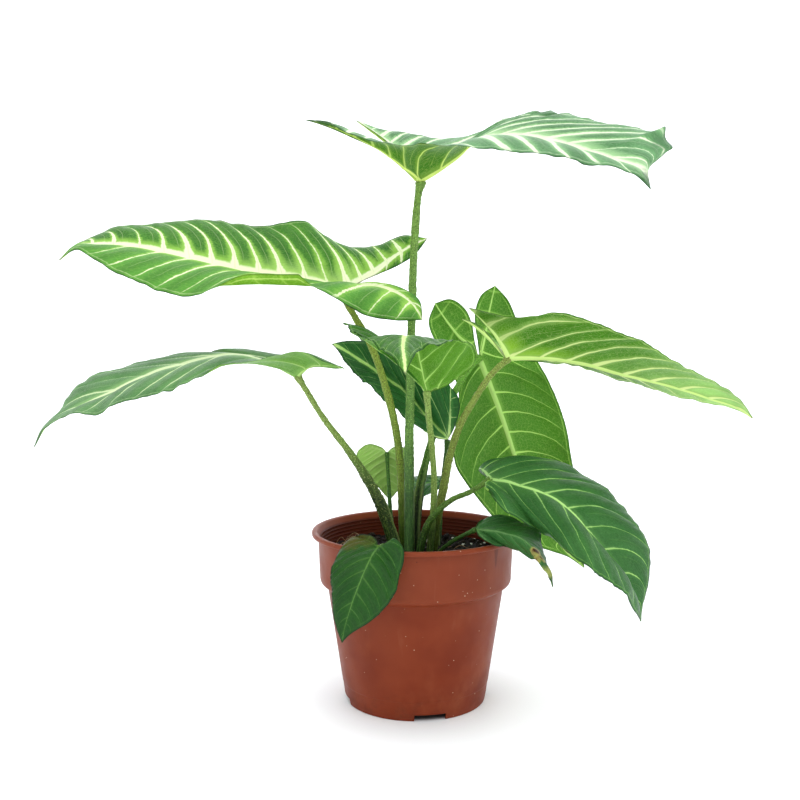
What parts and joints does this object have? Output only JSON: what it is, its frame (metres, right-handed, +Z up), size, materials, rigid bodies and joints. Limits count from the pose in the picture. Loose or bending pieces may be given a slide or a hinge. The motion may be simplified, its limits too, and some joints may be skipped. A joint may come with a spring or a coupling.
{
  "type": "potted caladium",
  "caption": "Leafy house plant in a round nursery pot: arrow-shaped veined leaves on long stalks over dark soil, with room under the rim for watering.",
  "frame": {"origin": "table level, under the middle of the plant's footprint", "axes": "+Z up; +X towards the long leaves on the right as the plant is seen from its front; the front faces -Y"},
  "size_m": [0.4596, 0.2188, 0.3992],
  "materials": {
    "pot_plastic": "satin terracotta-coloured moulded plastic",
    "potting_soil": "moist dark peat with white perlite grains",
    "leaf_green": "soft satin leaf with pale raised veins, lighter underside",
    "petiole_green": "satin olive stalk, finely speckled, darker at the base"
  },
  "bodies": {
    "root": {"pot": "pot_plastic", "soil": "potting_soil", "petiole_top": "petiole_green", "petiole_upper_left": "petiole_green", "petiole_lower_left": "petiole_green", "petiole_center_front": "petiole_green", "petiole_center_back": "petiole_green", "petiole_right_long": "petiole_green", "petiole_right_hanging": "petiole_green", "petiole_right_front": "petiole_green", "petiole_rim_right": "petiole_green", "petiole_rim_front_left": "petiole_green", "petiole_small_back_left": "petiole_green", "petiole_small_back": "petiole_green", "leaf_top": "leaf_green", "leaf_upper_left": "leaf_green", "leaf_lower_left": "leaf_green", "leaf_center_front": "leaf_green", "leaf_center_back": "leaf_green", "leaf_right_long": "leaf_green", "leaf_right_hanging": "leaf_green", "leaf_right_front": "leaf_green", "leaf_rim_right": "leaf_green", "leaf_rim_front_left": "leaf_green", "leaf_small_back_left": "leaf_green", "leaf_small_back": "leaf_green"}
  },
  "joints": []
}
